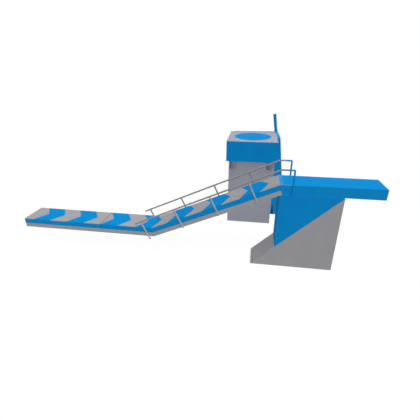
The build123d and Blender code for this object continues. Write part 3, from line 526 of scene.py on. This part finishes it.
def saddle_bead(shape, matrix):
    """Round bead where a post meets a tube of its own size, about the matrix's Z axis."""
    section = bmesh.ops.create_circle(
        shape,
        cap_ends=False,
        segments=BEAD_SIDES,
        radius=BEAD_RADIUS,
        matrix=Matrix.Translation((TUBE_RADIUS, 0, 0)) @ Matrix.Rotation(math.pi / 2, 4, "X"),
    )["verts"]
    edges = list({edge for vert in section for edge in vert.link_edges})
    before = set(shape.verts) - set(section)
    full_turn(shape, section, edges, BEAD_STEPS)
    ring = [vert for vert in shape.verts if vert not in before]
    for vert in ring:
        share = min(abs(vert.co.y) / TUBE_RADIUS, 1.0)
        vert.co.z -= TUBE_RADIUS * math.sqrt(1 - share * share)
    bmesh.ops.transform(shape, matrix=matrix, verts=ring)


def make_weld_beads():
    """Fillet welds where the posts meet the rails, following the saddle of the joint."""
    along = Vector((math.cos(RAIL_SLOPE), 0, math.sin(RAIL_SLOPE)))
    across = Vector((0, 1, 0))
    up = Vector((-along.z, 0, along.x))
    turn = Matrix((along, across, up)).transposed().to_4x4()
    start = Vector(
        (
            RAIL[0].x + TUBE_RADIUS * math.sin(RAIL_SLOPE),
            (RAIL[0].y + RAIL[1].y) / 2,
            RAIL[0].z + TUBE_RADIUS * math.cos(RAIL_SLOPE),
        )
    )
    shape = bmesh.new()
    for i in range(POST_COUNT):
        top = start + along * (FIRST_POST + i * POST_PITCH)
        for side in (1, -1):
            centre = Vector((top.x, side * top.y, top.z))
            saddle_bead(shape, Matrix.Translation(centre) @ turn)
    # the welds take the darker rail paint, painted shade like the tubes
    smooth(piece_from("post_welds", shape, "rail_paint_and_shade"), BEAD_SHARP_ANGLE)


# ------------------------------------------------------------------ landing and seam
HINGE_CAP_RADIUS = 0.046
HINGE_CAP_TAPER = 0.8
HINGE_CAP_HEIGHT = 0.007
HINGE_CAP_SEGMENTS = 40
SHAFT_X = -2.908
SEAM_STRIP_WIDTH = 0.03
SEAM_STRIP_HEIGHT = 0.003
STRIP_BEVEL = 0.001


def make_hinge_caps():
    """Tapered covers over the ends of the board's hinge shaft."""
    shape = bmesh.new()
    height = (CROSSPIECE[0].z + CROSSPIECE[1].z) / 2
    for side in (-1, 1):
        centre = Vector((SHAFT_X, side * (HALF_WIDTH + HINGE_CAP_HEIGHT / 2), height))
        round_bar(
            shape,
            Matrix.Translation(centre) @ Matrix.Rotation(-side * math.pi / 2, 4, "X"),
            HINGE_CAP_RADIUS,
            HINGE_CAP_HEIGHT,
            HINGE_CAP_SEGMENTS,
            far_radius=HINGE_CAP_RADIUS * HINGE_CAP_TAPER,
        )
    smooth(piece_from("hinge_caps", shape, "blue_paint"))


def make_seam_strip():
    """Rubber strip over the joint of the two walkway modules."""
    low, high = SEAM
    shape = bmesh.new()
    size = (SEAM_STRIP_WIDTH, 2 * HALF_WIDTH, SEAM_STRIP_HEIGHT)
    centre = ((low.x + high.x) / 2, 0, WALKWAY_TOP + SEAM_STRIP_HEIGHT / 2)
    bevelled_bar(shape, size, Matrix.Translation(centre), bevel=STRIP_BEVEL)
    piece_from("seam_strip", shape, "seam_rubber")


# ------------------------------------------------------------------ concrete
PLUG_RADIUS = 0.022
PLUG_TAPER = 0.86
PLUG_SEGMENTS = 24
PLUG_PROUD = 0.0015
PLUG_PITCH = 0.9
PLUG_MARGIN = 0.3
TOWER_PLUG_COLUMNS = (-1, 0, 1)
SEAL_RADIUS = 0.007
SEAL_SEGMENTS = 12


def plug_rows(shape, centres, normal):
    """Shallow round plugs in the tie holes of the formwork."""
    turn = Vector(normal).to_track_quat("Z", "Y").to_matrix().to_4x4()
    for centre in centres:
        round_bar(
            shape,
            Matrix.Translation(centre) @ turn,
            PLUG_RADIUS,
            2 * PLUG_PROUD,
            PLUG_SEGMENTS,
            far_radius=PLUG_RADIUS * PLUG_TAPER,
        )


def slope_height(x):
    """Height of the joint between foot and pier above x."""
    return (x - FOOT[0].x) * FOOT[1].z / (FOOT[1].x - FOOT[0].x)


def make_plugs():
    """Plugs in rows on the sides of foot and pier, the pool face and the tower."""
    grey = bmesh.new()
    blue = bmesh.new()
    columns = int((FOOT[1].x - FOOT[0].x - 2 * PLUG_MARGIN) / PLUG_PITCH) + 1
    rows = int((FOOT[1].z - 2 * PLUG_MARGIN) / PLUG_PITCH) + 1
    for side in (-1, 1):
        foot_centres = []
        pier_centres = []
        for column in range(columns):
            x = FOOT[1].x - PLUG_MARGIN - column * PLUG_PITCH
            for row in range(rows):
                z = PLUG_MARGIN + row * PLUG_PITCH
                below = slope_height(x) - z
                if below > PLUG_MARGIN:
                    foot_centres.append((x, side * HALF_WIDTH, z))
                elif below < -PLUG_MARGIN and x > PIER[0].x + PLUG_MARGIN:
                    pier_centres.append((x, side * HALF_WIDTH, z))
        plug_rows(grey, foot_centres, (0, side, 0))
        plug_rows(blue, pier_centres, (0, side, 0))
    pool_face = [
        (FOOT[1].x, y, PLUG_MARGIN + row * PLUG_PITCH)
        for y in (-PLUG_PITCH / 2, PLUG_PITCH / 2)
        for row in range(rows)
    ]
    plug_rows(grey, pool_face, (1, 0, 0))
    piece_from("foot_plugs", grey, "grey_concrete")
    piece_from("pier_plugs", blue, "blue_concrete")
    tower = bmesh.new()
    middle = (COLUMN[0].x + COLUMN[1].x) / 2
    levels = int((COLUMN[1].z - 2 * PLUG_MARGIN) / PLUG_PITCH) + 1
    for y, normal in ((COLUMN[0].y, -1), (COLUMN[1].y, 1)):
        centres = [
            (middle + column * PLUG_PITCH, y, PLUG_MARGIN + level * PLUG_PITCH)
            for column in TOWER_PLUG_COLUMNS
            for level in range(levels)
        ]
        plug_rows(tower, centres, (0, normal, 0))
    piece_from("tower_plugs", tower, "tower_panel")


def make_joint_seal():
    """Bead of sealant along the visible joint between foot and pier."""
    shape = bmesh.new()
    low = Vector((PIER[0].x, 0, slope_height(PIER[0].x)))
    high = Vector((FOOT[1].x, 0, FOOT[1].z))
    run = high - low
    turn = run.to_track_quat("Z", "Y").to_matrix().to_4x4()
    for side in (-1, 1):
        middle = (low + high) / 2 + Vector((0, side * HALF_WIDTH, 0))
        length = run.length - 2 * SEAL_RADIUS
        round_bar(shape, Matrix.Translation(middle) @ turn, SEAL_RADIUS, length, SEAL_SEGMENTS)
    across = Matrix.Translation(low) @ Matrix.Rotation(math.pi / 2, 4, "X")
    round_bar(shape, across, SEAL_RADIUS, 2 * HALF_WIDTH, SEAL_SEGMENTS)
    smooth(piece_from("joint_seal", shape, "blue_paint"))


# ------------------------------------------------------------------ tower
BORDER_WIDTH = 0.03
BORDER_HEIGHT = 0.004
BORDER_STEPS = 96


def make_disc_border():
    """Low edging ring round the disc on the tower's top."""
    shape = bmesh.new()
    low, high = DISC
    radius = (high.x - low.x) / 2
    centre = Vector(((low.x + high.x) / 2, (low.y + high.y) / 2, high.z))
    section = bmesh.ops.create_grid(
        shape,
        x_segments=1,
        y_segments=1,
        size=0.5,
        matrix=Matrix.Translation((radius - BORDER_WIDTH / 2, 0, BORDER_HEIGHT / 2))
        @ Matrix.Rotation(math.pi / 2, 4, "X")
        @ Matrix.Diagonal((BORDER_WIDTH, BORDER_HEIGHT, 1, 1)),
    )["verts"]
    faces = list({face for vert in section for face in vert.link_faces})
    edges = list({edge for vert in section for edge in vert.link_edges})
    bmesh.ops.delete(shape, geom=faces, context="FACES_ONLY")
    full_turn(shape, section, edges, BORDER_STEPS)
    bmesh.ops.transform(shape, matrix=Matrix.Translation(centre), verts=shape.verts)
    smooth(piece_from("disc_border", shape, "blue_grip"))


# ------------------------------------------------------------------ stage, light and camera
FLOOR_SIZE = 160.0
FLOOR_DROP = 0.002
FLOOR_WHITE = 0.98
SUN_TOWARDS = Vector((0.403, -0.406, 0.819))
SUN_STRENGTH = 2.8
SUN_SPREAD = math.radians(35)
SHADOWED_SUN = 0.12
FRONT_TOWARDS = Vector((0.2, -0.47, 0.86))
FRONT_STRENGTH = 0.4
SIDE_TOWARDS = Vector((-0.92, -0.1, 0.38))
SIDE_STRENGTH = 0.38
SKY_STRENGTH = 0.21
FLOOR_SHADE = 0.3  # the floor's own grey, for light that bounces off it
SHADOW_SHARE = 0.22  # how much of the floor that the camera sees takes shadow
WHITE = (1, 1, 1, 1)

CAMERA_PLACE = (-4.491, -15.167, 10.054)
CAMERA_TILT = math.radians(64.744)
CAMERA_TURN = math.radians(8.79)
CAMERA_VIEW_ANGLE = math.radians(70)
CAMERA_SENSOR = 36.0
CAMERA_REACH = 300.0


def seen_directly(tree):
    """Socket that is 1 where the camera looks, also through metal or glass, else 0."""
    rays = tree.nodes.new("ShaderNodeLightPath")
    seen = rays.outputs["Is Camera Ray"]
    for kind in ("Is Glossy Ray", "Is Transmission Ray"):
        either = tree.nodes.new("ShaderNodeMath")
        either.operation = "MAXIMUM"
        tree.links.new(seen, either.inputs[0])
        tree.links.new(rays.outputs[kind], either.inputs[1])
        seen = either.outputs[0]
    return seen


def mixed_shader(tree, share, first, second):
    """Mix of two shader sockets, by a number or a socket."""
    mix = tree.nodes.new("ShaderNodeMixShader")
    if isinstance(share, float):
        mix.inputs["Fac"].default_value = share
    else:
        tree.links.new(share, mix.inputs["Fac"])
    tree.links.new(first, mix.inputs[1])
    tree.links.new(second, mix.inputs[2])
    return mix.outputs[0]


def matt_shader(tree, shade):
    """Matt grey of a shade."""
    matt = tree.nodes.new("ShaderNodeBsdfDiffuse")
    matt.inputs["Color"].default_value = (shade, shade, shade, 1)
    return matt.outputs[0]


def make_floor():
    """Pale floor: white to the camera but for a soft shadow, and dim to everything else."""
    shape = bmesh.new()
    bmesh.ops.create_grid(shape, x_segments=1, y_segments=1, size=FLOOR_SIZE / 2)
    mesh = bpy.data.meshes.new("floor")
    shape.to_mesh(mesh)
    shape.free()
    floor = bpy.data.objects.new("floor", mesh)
    floor.location.z = -FLOOR_DROP
    bpy.context.scene.collection.objects.link(floor)
    material = bpy.data.materials.new("floor_white")
    material.use_nodes = True
    tree = material.node_tree
    tree.nodes.clear()
    output = tree.nodes.new("ShaderNodeOutputMaterial")
    glow = tree.nodes.new("ShaderNodeEmission").outputs[0]
    pale = mixed_shader(tree, SHADOW_SHARE, glow, matt_shader(tree, FLOOR_WHITE))
    dim = matt_shader(tree, FLOOR_SHADE)
    tree.links.new(
        mixed_shader(tree, seen_directly(tree), dim, pale), output.inputs["Surface"]
    )
    mesh.materials.append(material)


def make_world():
    """Even sky light, shown white behind the object."""
    world = bpy.data.worlds.new("sky")
    bpy.context.scene.world = world
    world.use_nodes = True
    tree = world.node_tree
    tree.nodes.clear()
    output = tree.nodes.new("ShaderNodeOutputWorld")
    even = tree.nodes.new("ShaderNodeBackground")
    even.inputs["Strength"].default_value = SKY_STRENGTH
    even.inputs["Color"].default_value = WHITE
    white = tree.nodes.new("ShaderNodeBackground")
    white.inputs["Color"].default_value = WHITE
    sky = mixed_shader(tree, seen_directly(tree), even.outputs[0], white.outputs[0])
    tree.links.new(sky, output.inputs["Surface"])


def make_suns():
    """Soft sun, of which a part casts shadows, and weak fills from the front and one side."""
    for name, towards, strength, shadows in (
        ("sun", SUN_TOWARDS, SUN_STRENGTH * SHADOWED_SUN, True),
        ("sun_fill", SUN_TOWARDS, SUN_STRENGTH * (1 - SHADOWED_SUN), False),
        ("front_fill", FRONT_TOWARDS, FRONT_STRENGTH, False),
        ("side_fill", SIDE_TOWARDS, SIDE_STRENGTH, False),
    ):
        lamp = bpy.data.lights.new(name, "SUN")
        lamp.energy = strength
        lamp.angle = SUN_SPREAD
        lamp.use_shadow = shadows
        sun = bpy.data.objects.new(name, lamp)
        sun.rotation_euler = towards.to_track_quat("Z", "Y").to_euler()
        bpy.context.scene.collection.objects.link(sun)


def make_camera():
    """Viewpoint above and to the left of the pool side, with a wide lens."""
    lens = bpy.data.cameras.new("camera")
    lens.sensor_width = CAMERA_SENSOR
    lens.lens = CAMERA_SENSOR / 2 / math.tan(CAMERA_VIEW_ANGLE / 2)
    lens.clip_end = CAMERA_REACH
    camera = bpy.data.objects.new("camera", lens)
    camera.location = CAMERA_PLACE
    camera.rotation_euler = (CAMERA_TILT, 0, CAMERA_TURN)
    bpy.context.scene.collection.objects.link(camera)
    bpy.context.scene.camera = camera


make_camera()
make_world()
make_suns()
make_floor()
dress_nodes()
make_grip_ribs()
make_board_mat()
make_weld_beads()
make_hinge_caps()
make_seam_strip()
make_plugs()
make_joint_seal()
make_disc_border()

bpy.context.scene.view_settings.view_transform = "Standard"
